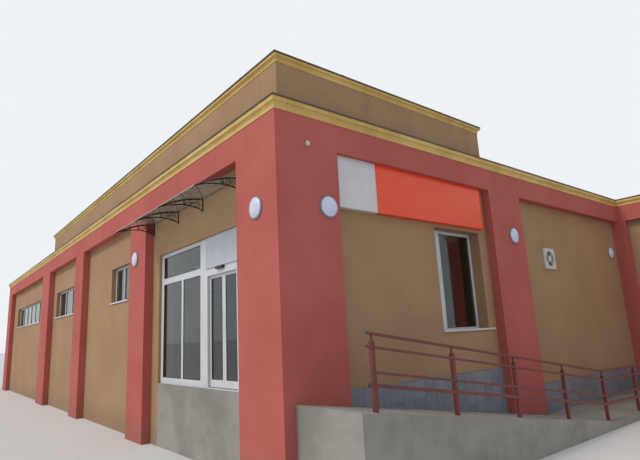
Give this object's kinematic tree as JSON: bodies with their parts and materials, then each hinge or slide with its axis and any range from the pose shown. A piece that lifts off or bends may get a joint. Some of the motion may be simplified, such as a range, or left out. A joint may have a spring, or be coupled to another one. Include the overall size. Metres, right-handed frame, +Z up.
{
  "type": "supermarket building",
  "caption": "Single-storey supermarket hall with a raised front block, pilasters, a side wing, sliding entrance doors under a canopy, and a railed access ramp.",
  "frame": {"origin": "middle of the bounding box on the lowest ground level", "axes": "+Z up; the entrance facade faces -Y and runs along X; the sign and ramp facade faces +X"},
  "size_m": [33.452, 19.2828, 6.758],
  "materials": {
    "ochre_plaster": "painted render",
    "terracotta_plaster": "painted render",
    "yellow_plaster": "painted moulding",
    "sheet_metal": "dark painted sheet",
    "roof_membrane": "bitumen",
    "concrete": "cast",
    "plinth_tile": "matt tile",
    "white_frame": "satin white",
    "glazing": "clear",
    "white_sill": "satin white",
    "black_plastic": "satin",
    "grey_case": "anodised",
    "threshold_metal": "ribbed",
    "wrought_iron": "painted black",
    "clear_sheet": "clear",
    "sign_light": "semi gloss",
    "sign_orange": "semi gloss",
    "lamp_base": "satin",
    "lamp_opal": "opal",
    "vent_white": "satin",
    "fitting_white": "satin",
    "railing_paint": "gloss enamel"
  },
  "bodies": {
    "building": {"wall_front_left": "ochre_plaster", "wall_front_head": "ochre_plaster", "wall_front_right": "ochre_plaster", "wall_side": "ochre_plaster", "wall_wing_front": "ochre_plaster", "wall_wing_side": "ochre_plaster", "wall_rear": "ochre_plaster", "wall_left": "ochre_plaster", "attic_walls": "ochre_plaster", "corner_pilaster": "terracotta_plaster", "front_pilasters": "terracotta_plaster", "side_pilaster": "terracotta_plaster", "wing_pilasters": "terracotta_plaster", "rear_pilasters": "terracotta_plaster", "left_pilasters": "terracotta_plaster", "fascia": "terracotta_plaster", "lower_cornice": "yellow_plaster", "upper_cornice": "yellow_plaster", "lower_flashing": "sheet_metal", "upper_flashing": "sheet_metal", "main_roof": "roof_membrane", "high_roof": "roof_membrane", "floor_slab": "concrete", "entrance_footing": "concrete", "access_ramp": "concrete", "plinth_cladding": "plinth_tile", "storefront_frame": "white_frame", "header_panel": "white_frame", "front_window_frames": "white_frame", "side_window_frame": "white_frame", "storefront_glass": "glazing", "front_window_glass": "glazing", "side_window_glass": "glazing", "side_window_sill": "white_sill", "door_sensor": "black_plastic", "door_operator": "grey_case", "threshold": "threshold_metal", "canopy_brackets": "wrought_iron", "canopy_sheet": "clear_sheet", "sign_panel_light": "sign_light", "sign_panel_orange": "sign_orange", "lamp_bases": "lamp_base", "lamp_globes": "lamp_opal", "vent_plate": "vent_white", "alarm_fitting": "fitting_white", "railing_posts": "railing_paint", "railing_rails": "railing_paint"},
    "left_leaf": {"door_leaf_left": "white_frame", "door_glass_left": "glazing"},
    "right_leaf": {"door_leaf_right": "white_frame", "door_glass_right": "glazing"}
  },
  "joints": [
    {"name": "left_leaf_slide", "type": "slide", "parent": "building", "child": "left_leaf", "axis": [-1, 0, 0], "range_m": [0, 0.53]},
    {"name": "right_leaf_slide", "type": "slide", "parent": "building", "child": "right_leaf", "axis": [1, 0, 0], "range_m": [0, 0.53]}
  ],
  "couplings": [
    {"joint": "right_leaf_slide", "follows": "left_leaf_slide", "ratio": 1}
  ]
}
